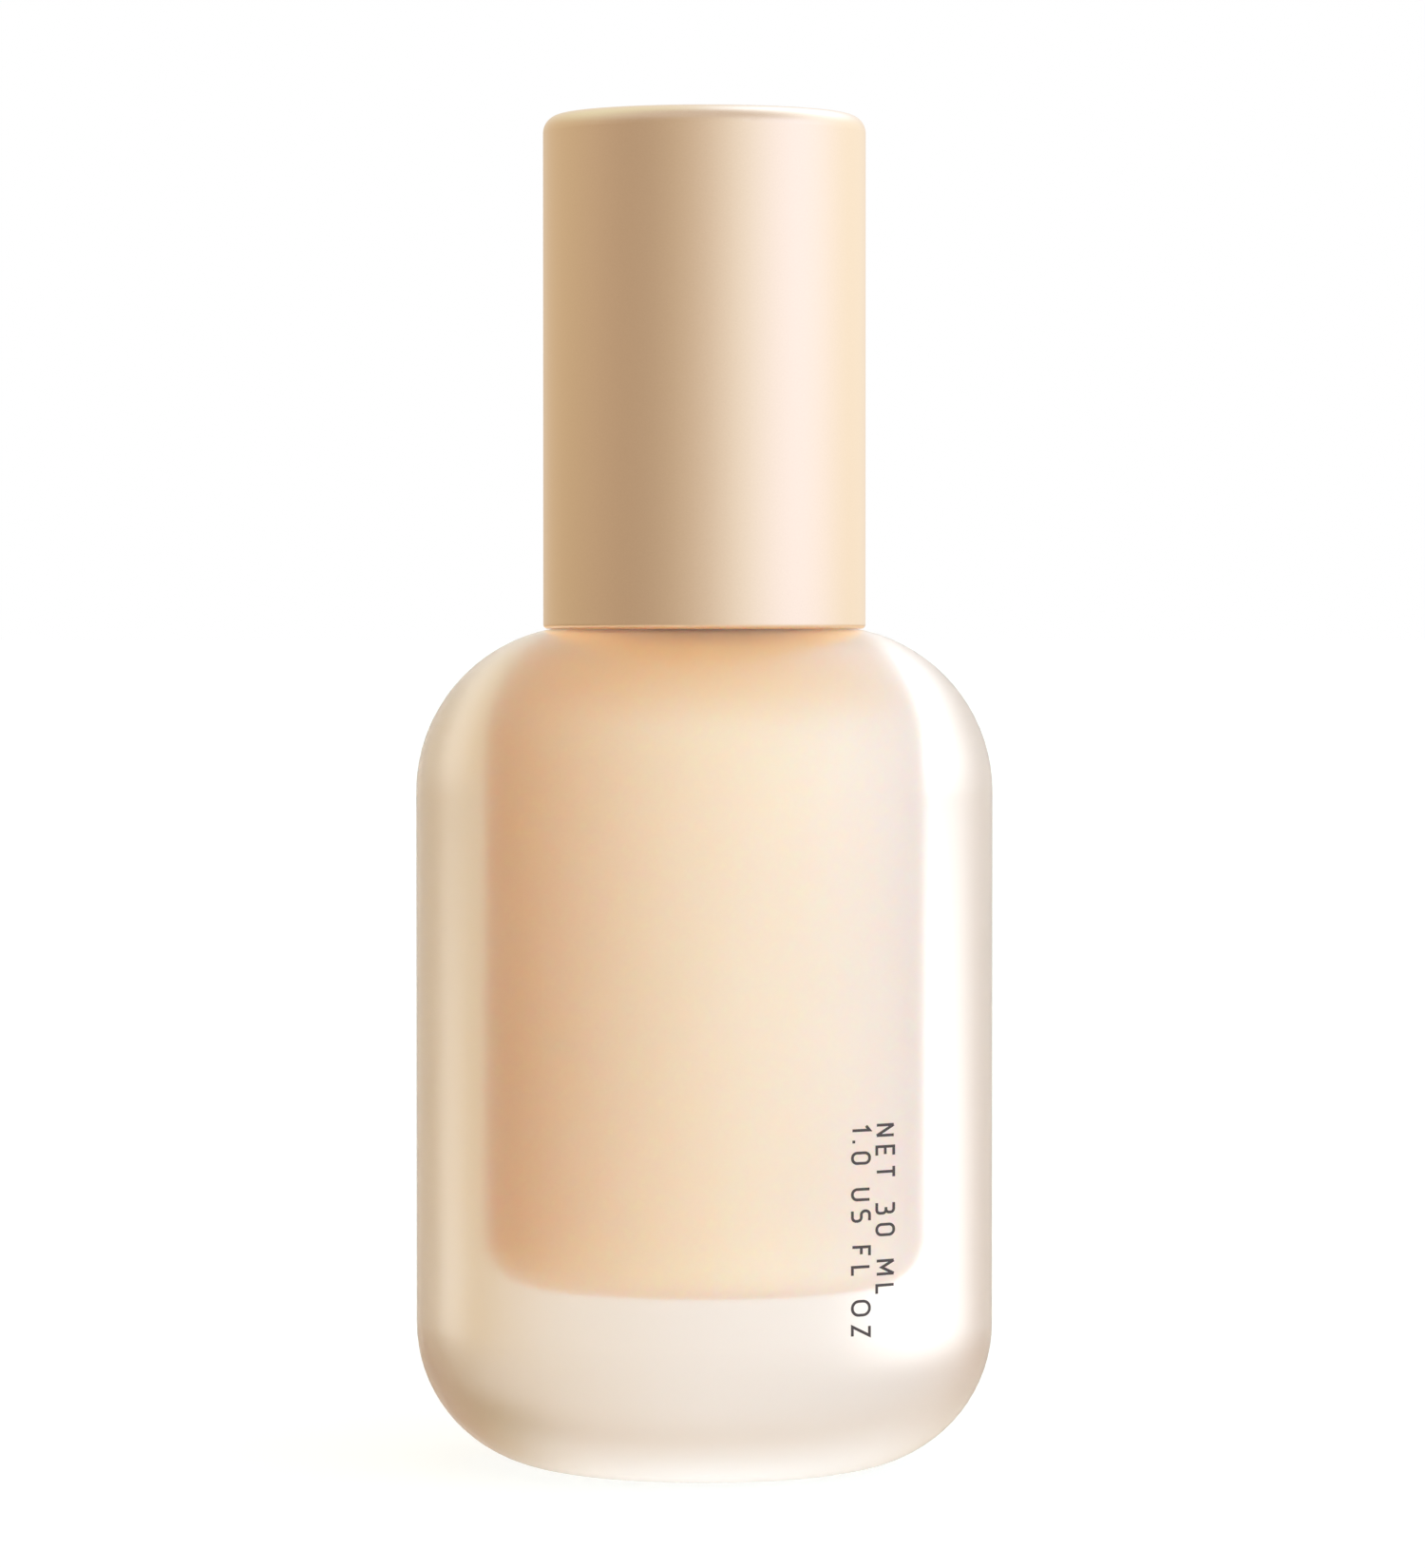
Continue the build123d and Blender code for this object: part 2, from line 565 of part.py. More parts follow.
# ---- Actuator core: moulded head with stem socket, outlet channel and ribs ----
core_r = HEAD_R - HEAD_SHELL_WALL - PRESS_GAP
core_top = HEAD_TOP_Z - HEAD_SHELL_WALL - PRESS_GAP
with BuildPart() as actuator_core:
    with BuildSketch(Plane.XZ):
        outline(
            [
                (0, core_top),
                (core_r, core_top),
                (core_r, HEAD_FOOT_Z + 0.2),
                (core_r - HEAD_CORE_WALL, HEAD_FOOT_Z + 0.2),
                (core_r - HEAD_CORE_WALL, core_top - HEAD_CORE_ROOF),
                (BOSS_R, core_top - HEAD_CORE_ROOF),
                (BOSS_R, BOSS_FOOT_Z),
                (0, BOSS_FOOT_Z),
            ],
            [0, HEAD_TOP_ROUND - HEAD_SHELL_WALL + PRESS_GAP, 0, 0, 0.3, 0.3, 0.3, 0],
        )
    revolve(axis=Axis.Z)
    with BuildSketch(Plane.XY.offset(HEAD_RIB_FOOT_Z)):
        with PolarLocations((BOSS_R + core_r - HEAD_CORE_WALL) / 2, HEAD_RIBS, start_angle=30):
            Rectangle(core_r - HEAD_CORE_WALL - BOSS_R + 0.4, HEAD_RIB_W)
    extrude(amount=core_top - HEAD_CORE_ROOF - HEAD_RIB_FOOT_Z + 0.2)
    with BuildSketch(Plane.XZ):
        with Locations((0, NOZZLE_Z)):
            Circle(NOZZLE_BOSS_R)
    extrude(amount=core_r - HEAD_CORE_WALL / 2)
    # Stem socket, riser, outlet channel and the bore for the spout.
    with BuildSketch(Plane.XY.offset(BOSS_FOOT_Z)):
        Circle(STEM_R + PRESS_GAP)
    extrude(amount=STEM_TOP_Z + 0.1 - BOSS_FOOT_Z, mode=Mode.SUBTRACT)
    with BuildSketch(Plane.XY.offset(STEM_TOP_Z)):
        Circle(STEM_BORE_R)
    extrude(amount=NOZZLE_Z + OUTLET_R - STEM_TOP_Z, mode=Mode.SUBTRACT)
    with BuildSketch(Plane.XZ):
        with Locations((0, NOZZLE_Z)):
            Circle(OUTLET_R)
    extrude(amount=core_r + 1, mode=Mode.SUBTRACT)
    with BuildSketch(Plane.XZ.offset(BOSS_R)):
        with Locations((0, NOZZLE_Z)):
            Circle(NOZZLE_R + PRESS_GAP)
    extrude(amount=core_r, mode=Mode.SUBTRACT)

# ---- Actuator shell: drawn aluminium cup over the core, with a side hole for the spout ----
with BuildPart() as actuator_shell:
    with BuildSketch(Plane.XZ):
        outline(
            [
                (0, HEAD_TOP_Z),
                (HEAD_R, HEAD_TOP_Z),
                (HEAD_R, HEAD_FOOT_Z),
                (HEAD_R - HEAD_SHELL_WALL, HEAD_FOOT_Z),
                (HEAD_R - HEAD_SHELL_WALL, HEAD_TOP_Z - HEAD_SHELL_WALL),
                (0, HEAD_TOP_Z - HEAD_SHELL_WALL),
            ],
            [0, HEAD_TOP_ROUND, 0.15, 0, HEAD_TOP_ROUND - HEAD_SHELL_WALL, 0],
        )
    revolve(axis=Axis.Z)
    with BuildSketch(Plane.XZ):
        with Locations((0, NOZZLE_Z)):
            Circle(NOZZLE_R + 0.05)
    extrude(amount=HEAD_R + 1, mode=Mode.SUBTRACT)

# ---- Nozzle insert: spout pressed into the core through the shell's side hole ----
spout_plane = Plane(origin=(0, 0, NOZZLE_Z), x_dir=(1, 0, 0), z_dir=(0, 0, 1))
with BuildPart() as nozzle_insert:
    with BuildSketch(spout_plane):
        with BuildLine():
            FilletPolyline(
                (NOZZLE_BORE_R, -BOSS_R - 0.1),
                (NOZZLE_R, -BOSS_R - 0.1),
                (NOZZLE_R, -HEAD_R - 0.06),
                (NOZZLE_COLLAR_R, -HEAD_R - 0.06),
                (NOZZLE_COLLAR_R - 0.25, -NOZZLE_REACH),
                (NOZZLE_BORE_R, -NOZZLE_REACH),
                radius=[0, 0.2, 0, 0.15, 0.5, 0.15],
                close=True,
            )
        make_face()
    revolve(axis=Axis((0, 0, NOZZLE_Z), (0, 1, 0)))

pieces = {
    "glass_bottle": glass_bottle,
    "foundation_fill": foundation_fill,
    "volume_print": volume_print,
    "neck_gasket": neck_gasket,
    "chamber_housing": chamber_housing,
    "ball_cage": ball_cage,
    "inlet_ball": inlet_ball,
    "return_spring": return_spring,
    "chaplet": chaplet,
    "dip_tube": dip_tube,
    "piston": piston,
    "plunger_plug": plunger_plug,
    "stem": stem,
    "screw_closure": screw_closure,
    "collar_sleeve": collar_sleeve,
    "cap_shell": cap_shell,
    "cap_liner": cap_liner,
    "actuator_core": actuator_core,
    "actuator_shell": actuator_shell,
    "nozzle_insert": nozzle_insert,
}
for name, piece in pieces.items():
    piece.part.label = name
    export_step(piece.part, f"parts/{name}.step")
    print(name, round(piece.part.volume, 1), "mm3")
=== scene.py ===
import math

import bmesh
import bpy
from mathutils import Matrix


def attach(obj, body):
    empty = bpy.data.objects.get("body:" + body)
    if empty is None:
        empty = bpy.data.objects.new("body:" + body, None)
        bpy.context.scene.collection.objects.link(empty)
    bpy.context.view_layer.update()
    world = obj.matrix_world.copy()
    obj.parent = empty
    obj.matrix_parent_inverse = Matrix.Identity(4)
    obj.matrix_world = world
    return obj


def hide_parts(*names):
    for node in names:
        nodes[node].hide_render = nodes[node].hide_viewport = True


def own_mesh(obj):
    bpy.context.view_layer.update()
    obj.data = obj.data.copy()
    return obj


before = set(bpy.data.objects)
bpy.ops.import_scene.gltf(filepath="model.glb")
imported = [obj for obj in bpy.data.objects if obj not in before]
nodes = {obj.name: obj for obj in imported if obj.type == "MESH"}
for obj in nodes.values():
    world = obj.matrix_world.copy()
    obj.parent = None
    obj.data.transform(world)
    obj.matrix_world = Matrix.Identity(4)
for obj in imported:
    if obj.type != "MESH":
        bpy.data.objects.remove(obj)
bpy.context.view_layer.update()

MM = 0.001

# ---- Liquid, in millimetres: the cavity's own section, a hair larger so that it wets the glass, ----
# ---- and a hair slimmer in the neck ----
WET = 0.05
CAVITY_R = 14.7 + WET
CAVITY_FLOOR = 14.1 - WET
CAVITY_TOP = 63.0 + WET
FLOOR_ROUND = 3.6
SHOULDER_ROUND = 8.5
MOUTH_ROUND = 1.4
NECK_BORE_R = 5.4 - WET
FILL_LEVEL = 64.5
MENISCUS = 0.45
MENISCUS_CURVE = [(0.0, 0.0), (0.12, 0.6), (0.35, 1.0)]     # in from the bore, and down as a share
SHOULDER_TOP_ANGLE = 82
MOUTH_FOOT_ANGLE = -100
LIQUID_SEGMENTS = 160
TUBE_WELL_R = 1.8
SOCKET_WELL_R = 2.7
BARREL_WELL_R = 4.7
TUBE_WELL_Z = 15.0
SOCKET_WELL_Z = 52.5
BARREL_WELL_Z = 57.05
CREAM = (0.985, 0.79, 0.585)        # its two tones, in soft swirls
PALE_CREAM = (0.97, 0.80, 0.61)
PAINTED_AMBER_SHADE = (1.0, 0.60, 0.24)           # painted warm shade near the top of the shoulder, under the overcap
PAINTED_AMBER_SHADE_Z = (57.0, 62.0)              # heights between which the painted amber shade comes in
SEAM_SHADE = (0.20, 0.045, 0.0)     # close under the overcap
SEAM_SHADE_Z = (62.3, 63.0)

# ---- Surfaces: parts of a noise's range that are drawn out over the whole of a look, and the ----
# ---- brightness that is left in the hollows of a surface, as painted shade ----
MIDDLE = (0.35, 0.65)
BROAD = (0.3, 0.7)
PLASTIC_SHADE = 0.965
STEEL_SHADE = 0.9

# ---- Return spring, in millimetres ----
SPRING_R = 2.4              # centre line of the wire
WIRE_R = 0.25
SPRING_TURNS = 5
SPRING_LOW = 62.28          # centre line at the foot
SPRING_HIGH = 68.92         # and at the head
TURN_STEPS = 40
WIRE_SIDES = 12

# ---- Camera: lens and sensor in millimetres, place in metres ----
FOCAL = 153.6
SENSOR = 36.0
CAMERA_X = 0.00063
CAMERA_DISTANCE = 0.519
CAMERA_HEIGHT = 0.0651
CAMERA_DIP = math.radians(1.351)

FLOOR_REACH = 30.0      # metres from the middle to each edge

# ---- Studio. A ring holds colours of panels by azimuth, 0 at the camera and positive to the right. ----
# ---- A band holds the two heights of a ray, 1 straight up and -1 straight down, between which the ----
# ---- colours of its name come in. MIRROR shows in reflections, and THROUGH shows through glass. ----
PANEL_TOP = 3.0     # brightest value that a panel may have
MIRROR_RING = [
    (-180, (0.85, 0.82, 0.78)),
    (-165, (0.90, 0.84, 0.74)),
    (-140, (0.76, 0.64, 0.46)),
    (-106, (0.69, 0.58, 0.41)),
    (-83, (0.645, 0.52, 0.395)),
    (-57, (0.47, 0.365, 0.265)),
    (-35, (0.45, 0.34, 0.235)),
    (-18, (0.575, 0.465, 0.31)),
    (-2, (0.66, 0.56, 0.455)),
    (14, (0.88, 0.84, 0.77)),
    (30, (1.05, 1.10, 1.10)),
    (50, (1.20, 1.28, 1.54)),
    (72, (1.27, 1.39, 1.80)),
    (95, (1.20, 1.29, 1.46)),
    (118, (1.13, 1.15, 1.06)),
    (148, (1.12, 1.12, 1.04)),
    (165, (0.88, 0.82, 0.74)),
    (180, (0.85, 0.82, 0.78)),
]
MIRROR_LOW_RING = [
    (-180, (0.90, 0.84, 0.74)),
    (-150, (0.56, 0.34, 0.16)),
    (-120, (0.26, 0.15, 0.06)),
    (-60, (0.44, 0.32, 0.20)),
    (60, (1.10, 1.10, 1.10)),
    (115, (0.80, 0.62, 0.45)),
    (140, (0.62, 0.38, 0.17)),
    (156, (0.80, 0.62, 0.45)),
    (180, (0.90, 0.84, 0.74)),
]
MIRROR_HIGH_RING = [
    (-180, (0.90, 0.86, 0.78)),
    (-140, (0.95, 1.04, 0.84)),
    (-60, (0.66, 0.60, 0.56)),
    (60, (0.68, 0.62, 0.58)),
    (110, (1.40, 1.55, 1.75)),
    (150, (1.65, 2.10, 2.75)),
    (180, (0.90, 0.88, 0.84)),
]
MIRROR_BELOW = (0.95, 0.88, 0.78)
MIRROR_HIGH_BAND = (0.35, 0.65)
MIRROR_LOW_BAND = (-0.05, -0.15)
MIRROR_BELOW_BAND = (-0.55, -0.9)
THROUGH_RING = [
    (-180, (0.91, 0.85, 0.79)),
    (-173, (0.95, 0.90, 0.84)),
    (-167, (1.65, 1.64, 1.60)),
    (-162, (1.75, 1.75, 1.75)),
    (-157, (1.38, 1.35, 1.30)),
    (-151, (0.85, 0.74, 0.66)),
    (-144, (0.60, 0.47, 0.36)),
    (-136, (0.40, 0.28, 0.16)),
    (-110, (0.46, 0.28, 0.12)),
    (-60, (0.90, 0.80, 0.70)),
    (60, (0.90, 0.80, 0.70)),
    (110, (0.80, 0.68, 0.52)),
    (136, (0.58, 0.46, 0.29)),
    (145, (0.56, 0.44, 0.27)),
    (151, (0.58, 0.46, 0.29)),
    (157, (1.13, 1.03, 0.87)),
    (163, (0.72, 0.55, 0.32)),
    (172, (0.85, 0.76, 0.64)),
    (180, (0.91, 0.85, 0.79)),
]
THROUGH_SILL_RING = [
    (-180, (0.87, 0.81, 0.745)),
    (-166, (0.77, 0.71, 0.64)),
    (-156, (0.80, 0.70, 0.60)),
    (-148, (0.60, 0.46, 0.34)),
    (-140, (0.45, 0.26, 0.12)),
    (-125, (0.41, 0.20, 0.06)),
    (-60, (0.80, 0.70, 0.60)),
    (60, (0.80, 0.70, 0.60)),
    (125, (0.40, 0.26, 0.13)),
    (147, (0.37, 0.21, 0.06)),
    (158, (0.59, 0.47, 0.31)),
    (171, (0.79, 0.69, 0.56)),
    (180, (0.87, 0.81, 0.745)),
]
THROUGH_RAISED_RING = [
    (-180, (0.80, 0.70, 0.59)),
    (-160, (0.80, 0.72, 0.62)),
    (-145, (0.66, 0.55, 0.44)),
    (-130, (0.50, 0.40, 0.29)),
    (-60, (0.80, 0.70, 0.60)),
    (60, (0.80, 0.70, 0.60)),
    (125, (0.34, 0.17, 0.06)),
    (143, (0.36, 0.18, 0.05)),
    (150, (0.42, 0.26, 0.12)),
    (165, (0.42, 0.30, 0.13)),
    (172, (0.70, 0.58, 0.45)),
    (180, (0.80, 0.70, 0.59)),
]
THROUGH_HIGH_RING = [
    (-180, (1.27, 1.36, 1.42)),
    (-155, (1.12, 1.08, 1.00)),
    (-137, (1.00, 0.98, 0.80)),
    (-120, (0.80, 0.70, 0.60)),
    (-60, (1.00, 0.95, 0.90)),
    (60, (1.00, 0.95, 0.90)),
    (130, (0.50, 0.34, 0.20)),
    (150, (0.34, 0.12, 0.01)),
    (162, (0.56, 0.43, 0.23)),
    (172, (1.12, 1.10, 1.04)),
    (180, (1.27, 1.36, 1.42)),
]
THROUGH_BELOW = (0.95, 0.86, 0.76)
THROUGH_SILL_BAND = (-0.06, 0.02)
THROUGH_RAISED_BAND = (0.07, 0.13)
THROUGH_HIGH_BAND = (0.14, 0.28)
THROUGH_BELOW_BAND = (-0.35, -0.85)
CREVICE_GLOW = (1.80, 1.35, 0.80)
CREVICE_DEPTH = 1.5     # reflections after which the crevice glow takes over from the mirror rings
SCATTER_DEPTH = 0.5     # matte bounces after which the wrapping light takes over

# ---- Wrapping light on matte surfaces: an even level, and what is added towards each side ----
WRAP_LEVEL = (0.655, 0.84, 1.01)
WRAP_RIGHT = (0.21, 0.22, 0.63)
WRAP_LEFT = (-0.585, -1.40, -2.86)
WRAP_FRONT = (0.74, 0.935, 0.93)
WRAP_BACK = (-0.04, -0.13, -0.57)
WRAP_UPRIGHT = (0.295, -0.125, -0.23)
LEFT_FADE = -0.7        # how far behind the bottle the left side's dimness reaches


# ---------------------------------------------------------------------------------------------
# Node helpers
# ---------------------------------------------------------------------------------------------
def link(tree, value, socket):
    """Plugs an output into a socket, or sets the socket to a constant."""
    if isinstance(value, bpy.types.NodeSocket):
        tree.links.new(value, socket)
    else:
        socket.default_value = value


def arithmetic(tree, operation, *values):
    """One sum, product or function of the values."""
    node = tree.nodes.new("ShaderNodeMath")
    node.operation = operation
    for socket, value in zip(node.inputs, values):
        link(tree, value, socket)
    return node.outputs[0]


def blend_colours(tree, factor, first, second):
    """The first colour at a factor of 0 and the second at 1. Constant colours are plain triples."""
    node = tree.nodes.new("ShaderNodeMix")
    node.data_type = "RGBA"
    link(tree, factor, node.inputs[0])
    for socket, colour in ((node.inputs[6], first), (node.inputs[7], second)):
        link(tree, (*colour, 1.0) if isinstance(colour, tuple) else colour, socket)
    return node.outputs[2]


def spread(tree, value, low, high, out_low=0.0, out_high=1.0):
    """Maps a value from one range to another, clamped."""
    node = tree.nodes.new("ShaderNodeMapRange")
    for socket, number in zip(node.inputs[1:5], (low, high, out_low, out_high)):
        socket.default_value = number
    link(tree, value, node.inputs[0])
    return node.outputs[0]


def fade_in(tree, height, band, before, after):
    """One colour giving way to another between the two heights of a band."""
    return blend_colours(tree, spread(tree, height, *band), before, after)


def object_point(tree, stretch=(1.0, 1.0, 1.0)):
    """Object coordinates in millimetres, stretched along each axis."""
    place = tree.nodes.new("ShaderNodeTexCoord")
    scale = tree.nodes.new("ShaderNodeVectorMath")
    scale.operation = "MULTIPLY"
    tree.links.new(place.outputs["Object"], scale.inputs[0])
    scale.inputs[1].default_value = tuple(s / MM for s in stretch)
    return scale.outputs[0]


def noise(tree, point, scale, detail=2.0, rough=0.5):
    """Noise from a point in millimetres, with its scale in waves per millimetre."""
    node = tree.nodes.new("ShaderNodeTexNoise")
    tree.links.new(point, node.inputs["Vector"])
    node.inputs["Scale"].default_value = scale
    node.inputs["Detail"].default_value = detail
    node.inputs["Roughness"].default_value = rough
    return node.outputs[0]


def bump(tree, shader, height, strength, distance_mm):
    """Lifts the shader's surface by a height, with a distance in millimetres for a height of 1."""
    node = tree.nodes.new("ShaderNodeBump")
    node.inputs["Strength"].default_value = strength
    node.inputs["Distance"].default_value = distance_mm * MM
    tree.links.new(height, node.inputs["Height"])
    tree.links.new(node.outputs[0], shader.inputs["Normal"])


def new_material(name, **settings):
    """A Principled material. Underscores in the names of settings stand for spaces."""
    material = bpy.data.materials.new(name)
    material.use_nodes = True
    shader = material.node_tree.nodes["Principled BSDF"]
    for key, value in settings.items():
        shader.inputs[key.replace("_", " ")].default_value = value
    return material, material.node_tree, shader


# ---------------------------------------------------------------------------------------------
# Materials
# ---------------------------------------------------------------------------------------------
def frosted_glass():
    """Thick glass with a satin, acid-etched face."""
    material, tree, shader = new_material(
        "frosted_glass",
        Base_Color=(1.0, 0.965, 0.925, 1.0),
        Roughness=0.3,
        IOR=1.16,
        Transmission_Weight=0.9,
        Coat_Weight=1.0,
        Coat_Roughness=0.35,
        Coat_IOR=1.5,
    )
    etch = noise(tree, object_point(tree), scale=9.0, detail=3.0, rough=0.6)
    bump(tree, shader, etch, strength=0.06, distance_mm=0.02)
    return material


def foundation_liquid():
    """Opaque beige liquid, with painted amber shade and then painted dark shade where it nears the neck.
    """
    material, tree, shader = new_material(
        "foundation_liquid",
        Roughness=0.42,
        Subsurface_Weight=1.0,
        Subsurface_Radius=(1.0, 0.45, 0.2),
        Subsurface_Scale=0.01,
    )
    drawn_up = object_point(tree, stretch=(1.0, 1.0, 0.35))
    swirl = noise(tree, drawn_up, scale=0.11, detail=4.0, rough=0.55)
    colour = blend_colours(tree, spread(tree, swirl, *MIDDLE), CREAM, PALE_CREAM)
    axes = tree.nodes.new("ShaderNodeSeparateXYZ")
    tree.links.new(object_point(tree), axes.inputs[0])
    # painted shade by height: amber, then near black, where the overcap shades the shoulder
    colour = fade_in(tree, axes.outputs[2], PAINTED_AMBER_SHADE_Z, colour, PAINTED_AMBER_SHADE)
    colour = fade_in(tree, axes.outputs[2], SEAM_SHADE_Z, colour, SEAM_SHADE)
    tree.links.new(colour, shader.inputs["Base Color"])
    return material


def print_ink():
    """Dark screen-printed ink, a little patchy."""
    material, tree, shader = new_material("print_ink", Roughness=0.55)
    speckle = noise(tree, object_point(tree), scale=14.0)
    patchy = spread(tree, speckle, *BROAD)
    colour = blend_colours(tree, patchy, (0.035, 0.026, 0.021), (0.065, 0.05, 0.042))
    tree.links.new(colour, shader.inputs["Base Color"])
    return material


def champagne_aluminium():
    """Bead-blasted aluminium with champagne anodising."""
    material, tree, shader = new_material(
        "champagne_aluminium",
        Metallic=0.95,
        Coat_Weight=0.5,
        Coat_Roughness=0.4,
        Coat_IOR=1.5,
    )
    grain = noise(tree, object_point(tree), scale=7.0, detail=3.0, rough=0.65)
    fine = spread(tree, grain, *BROAD)
    colour = blend_colours(tree, fine, (0.865, 0.695, 0.525), (0.895, 0.725, 0.555))
    dullness = spread(tree, grain, *BROAD, out_low=0.36, out_high=0.41)
    tree.links.new(colour, shader.inputs["Base Color"])
    tree.links.new(dullness, shader.inputs["Roughness"])
    bump(tree, shader, grain, strength=0.12, distance_mm=0.02)
    return material


def moulded_plastic(name, colour, roughness, **more):
    """Polypropylene or polyethylene with the faint orange peel of a moulded or drawn surface."""
    material, tree, shader = new_material(name, IOR=1.49, **more)
    peel = noise(tree, object_point(tree), scale=1.6, detail=3.0)
    # painted shade: a little darker in the hollows of the peel
    shade = tuple(PLASTIC_SHADE * c for c in colour)
    tint = blend_colours(tree, spread(tree, peel, *MIDDLE), shade, colour)
    dullness = spread(tree, peel, *BROAD, out_low=roughness - 0.03, out_high=roughness + 0.04)
    tree.links.new(tint, shader.inputs["Base Color"])
    tree.links.new(dullness, shader.inputs["Roughness"])
    bump(tree, shader, peel, strength=0.1, distance_mm=0.03)
    return material


def gasket_foam():
    """Closed-cell foam, with painted shade in the hollows of its cells."""
    material, tree, shader = new_material("gasket_foam", Roughness=0.85, IOR=1.45)
    cells = tree.nodes.new("ShaderNodeTexVoronoi")
    cells.inputs["Scale"].default_value = 6.0
    tree.links.new(object_point(tree), cells.inputs["Vector"])
    depth = cells.outputs["Distance"]
    # painted shade: the foam is darker in the hollows of its cells
    painted_cell_shade_mask = spread(tree, depth, low=0.0, high=0.8)
    colour = blend_colours(tree, painted_cell_shade_mask, (0.82, 0.81, 0.79), (0.92, 0.91, 0.89))
    tree.links.new(colour, shader.inputs["Base Color"])
    bump(tree, shader, depth, strength=0.4, distance_mm=0.05)
    return material


def steel(name, colour, roughness, stretch):
    """Bright stainless steel. Its fine marks lie closest along the axis with the largest stretch."""
    material, tree, shader = new_material(name, Metallic=1.0)
    marks = noise(tree, object_point(tree, stretch), scale=6.0, detail=3.0)
    # painted shade: darker in the hollows of the marks
    shade = tuple(STEEL_SHADE * c for c in colour)
    tint = blend_colours(tree, spread(tree, marks, *BROAD), shade, colour)
    dullness = spread(tree, marks, *BROAD, out_low=0.8 * roughness, out_high=1.3 * roughness)
    tree.links.new(tint, shader.inputs["Base Color"])
    tree.links.new(dullness, shader.inputs["Roughness"])
    bump(tree, shader, marks, strength=0.05, distance_mm=0.01)
    return material


def dress_nodes():
    """A material for every CAD node that isn't replaced by a piece made here."""
    closure = moulded_plastic("closure_plastic", (0.90, 0.87, 0.82), roughness=0.32)
    liner = moulded_plastic("liner_plastic", (0.89, 0.86, 0.81), roughness=0.4)
    seal = moulded_plastic("seal_plastic", (0.90, 0.90, 0.89), roughness=0.45)
    pump = moulded_plastic("pump_plastic", (0.92, 0.92, 0.90), roughness=0.28, Transmission_Weight=0.35)
    tube = moulded_plastic("tube_plastic", (0.94, 0.95, 0.95), roughness=0.25, Transmission_Weight=0.6)
    ball = steel("ball_steel", (0.78, 0.78, 0.78), roughness=0.12, stretch=(1.0, 1.0, 1.0))
    metal = champagne_aluminium()
    finishes = {
        "glass_bottle": frosted_glass(),
        "volume_print": print_ink(),
        "neck_gasket": gasket_foam(),
        "chamber_housing": pump,
        "ball_cage": pump,
        "chaplet": pump,
        "stem": pump,
        "plunger_plug": pump,
        "inlet_ball": ball,
        "dip_tube": tube,
        "piston": seal,
        "screw_closure": closure,
        "actuator_core": closure,
        "nozzle_insert": closure,
        "collar_sleeve": metal,
        "actuator_shell": metal,
        "cap_shell": metal,
        "cap_liner": liner,
    }
    for name, material in finishes.items():
        data = nodes[name].data
        data.materials.clear()
        data.materials.append(material)
    # Rays that come out of glass or off a matte surface pass these four, so the shoulder stays bright.
    for name in ("cap_shell", "cap_liner", "collar_sleeve", "screw_closure"):
        nodes[name].visible_transmission = False
        nodes[name].visible_diffuse = False


# ---------------------------------------------------------------------------------------------
# Liquid and spring
# ---------------------------------------------------------------------------------------------
def arc(centre_r, centre_z, radius, start, end, steps=20):
    """Points of an arc in the half section, angles in degrees from +R towards +Z."""
    angles = [math.radians(start + (end - start) * i / steps) for i in range(steps + 1)]
    return [(centre_r + radius * math.cos(a), centre_z + radius * math.sin(a)) for a in angles]


def smooth_piece(name, form):
    """A smooth-shaded object from a finished form."""
    bmesh.ops.recalc_face_normals(form, faces=form.faces)
    for face in form.faces:
        face.smooth = True
    mesh = bpy.data.meshes.new(name)
    form.to_mesh(mesh)
    form.free()
    piece = bpy.data.objects.new(name, mesh)
    bpy.context.scene.collection.objects.link(piece)
    return piece


def join_rings(form, rings, sides):
    """Faces between neighbouring rings of points. A ring may be a single point."""
    for lower, upper in zip(rings, rings[1:]):
        for i in range(sides):
            j = (i + 1) % sides
            below = [lower[i % len(lower)], lower[j % len(lower)]]
            above = [upper[j % len(upper)], upper[i % len(upper)]]
            form.faces.new(list(dict.fromkeys(below + above)))


def turned(name, section, segments):
    """A closed turned solid from a half section in millimetres that starts and ends on the axis."""
    form = bmesh.new()
    rings = []
    for radius, height in section:
        if radius == 0.0:
            rings.append([form.verts.new((0.0, 0.0, height * MM))])
            continue
        ring = []
        for i in range(segments):
            turn = 2 * math.pi * i / segments
            place = (radius * math.cos(turn) * MM, radius * math.sin(turn) * MM, height * MM)
            ring.append(form.verts.new(place))
        rings.append(ring)
    join_rings(form, rings, segments)
    return smooth_piece(name, form)


def make_liquid():
    """Foundation up into the neck, with a meniscus and a well round the pump chamber and the dip tube."""
    mouth_r = NECK_BORE_R + MOUTH_ROUND
    section = [(0.0, CAVITY_FLOOR)]
    section += arc(CAVITY_R - FLOOR_ROUND, CAVITY_FLOOR + FLOOR_ROUND, FLOOR_ROUND, -90, 0)
    shoulder_z = CAVITY_TOP - SHOULDER_ROUND
    section += arc(CAVITY_R - SHOULDER_ROUND, shoulder_z, SHOULDER_ROUND, 0, SHOULDER_TOP_ANGLE, steps=28)
    section += arc(mouth_r, CAVITY_TOP + MOUTH_ROUND, MOUTH_ROUND, MOUTH_FOOT_ANGLE, -180, steps=10)
    section += [(NECK_BORE_R - inward, FILL_LEVEL - down * MENISCUS) for inward, down in MENISCUS_CURVE]
    section += [(BARREL_WELL_R, FILL_LEVEL - MENISCUS), (BARREL_WELL_R, BARREL_WELL_Z)]
    section += [(SOCKET_WELL_R, BARREL_WELL_Z), (SOCKET_WELL_R, SOCKET_WELL_Z)]
    section += [(TUBE_WELL_R, SOCKET_WELL_Z), (TUBE_WELL_R, TUBE_WELL_Z), (0.0, TUBE_WELL_Z)]
    liquid = turned("foundation_liquid", section, LIQUID_SEGMENTS)
    liquid.data.materials.append(foundation_liquid())
    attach(liquid, "bottle")
    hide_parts("foundation_fill")


